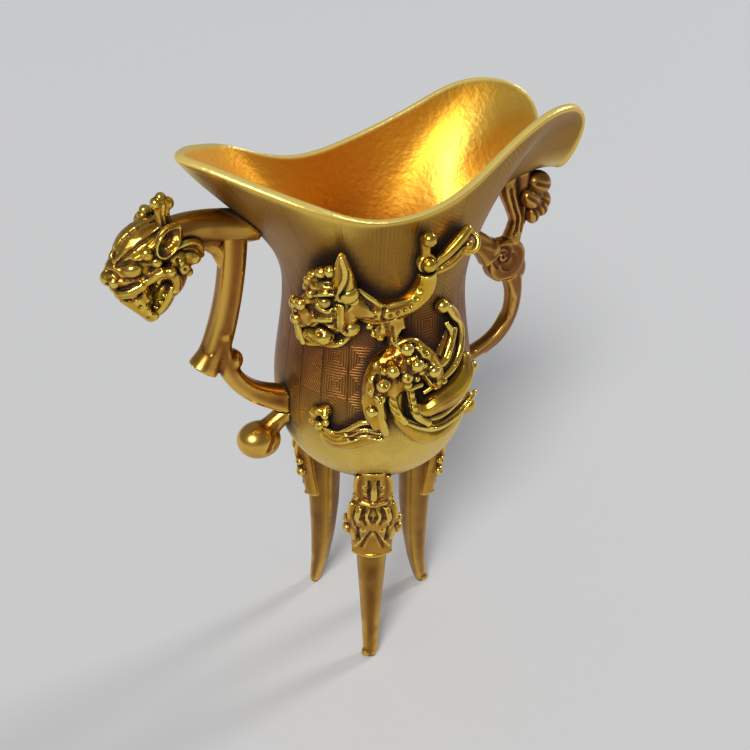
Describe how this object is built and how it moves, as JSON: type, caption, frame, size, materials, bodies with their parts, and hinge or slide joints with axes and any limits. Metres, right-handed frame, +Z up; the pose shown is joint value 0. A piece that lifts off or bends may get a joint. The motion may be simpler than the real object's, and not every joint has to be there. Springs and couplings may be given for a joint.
{
  "type": "bronze jue wine cup",
  "caption": "Small gilt bronze wine cup on blade legs with a pouring spout, a flared tail, dragon handles and a dragon in high relief.",
  "frame": {"origin": "on the floor under the middle of the round bowl, midway between the feet", "axes": "+Z up; -X towards the pouring spout, +X towards the tail; -Y the side with the relief dragon"},
  "size_m": [0.0919, 0.0432, 0.1188],
  "materials": {
    "cup_bronze": "polished gilt bronze with dark patina in the hollows",
    "leg_bronze": "darkened gilt bronze, bright on the edges",
    "relief_bronze": "rubbed bright gilt bronze with dark patina in the hollows",
    "handle_bronze": "rubbed gilt bronze with dark patina in the hollows"
  },
  "bodies": {
    "root": {"cup_body": "cup_bronze", "dragon_brows": "handle_bronze", "dragon_cheeks": "handle_bronze", "dragon_ears": "handle_bronze", "dragon_eyes": "handle_bronze", "dragon_horns": "handle_bronze", "dragon_jaw": "handle_bronze", "dragon_mane": "handle_bronze", "dragon_muzzle": "handle_bronze", "dragon_neck": "handle_bronze", "dragon_skull": "handle_bronze", "flower_bud": "handle_bronze", "flower_petals": "handle_bronze", "flower_stem": "handle_bronze", "leg_front": "leg_bronze", "leg_mask_front": "leg_bronze", "leg_mask_rear_left": "leg_bronze", "leg_mask_rear_right": "leg_bronze", "leg_rear_left": "leg_bronze", "leg_rear_right": "leg_bronze", "pearl_seats": "relief_bronze", "pearls": "relief_bronze", "relief_back_flame": "relief_bronze", "relief_brow": "relief_bronze", "relief_chest": "relief_bronze", "relief_crescent": "relief_bronze", "relief_crest": "relief_bronze", "relief_curls": "relief_bronze", "relief_eye": "relief_bronze", "relief_foreleg": "relief_bronze", "relief_hind_leg": "relief_bronze", "relief_jaw": "relief_bronze", "relief_muzzle": "relief_bronze", "relief_neck": "relief_bronze", "relief_nose_knobs": "relief_bronze", "relief_paw": "relief_bronze", "relief_plume_curls": "relief_bronze", "relief_plume_low": "relief_bronze", "relief_ribbon": "relief_bronze", "relief_scale_knobs": "relief_bronze", "relief_side_flame": "relief_bronze", "relief_side_knobs": "relief_bronze", "relief_skull": "relief_bronze", "relief_torso": "relief_bronze", "rolled_leaf": "relief_bronze", "spout_arm": "handle_bronze", "spout_scroll": "handle_bronze", "spout_strap": "handle_bronze", "spout_stump": "handle_bronze", "tail_disc": "handle_bronze", "tail_link": "handle_bronze", "tail_strap": "handle_bronze"}
  },
  "joints": []
}
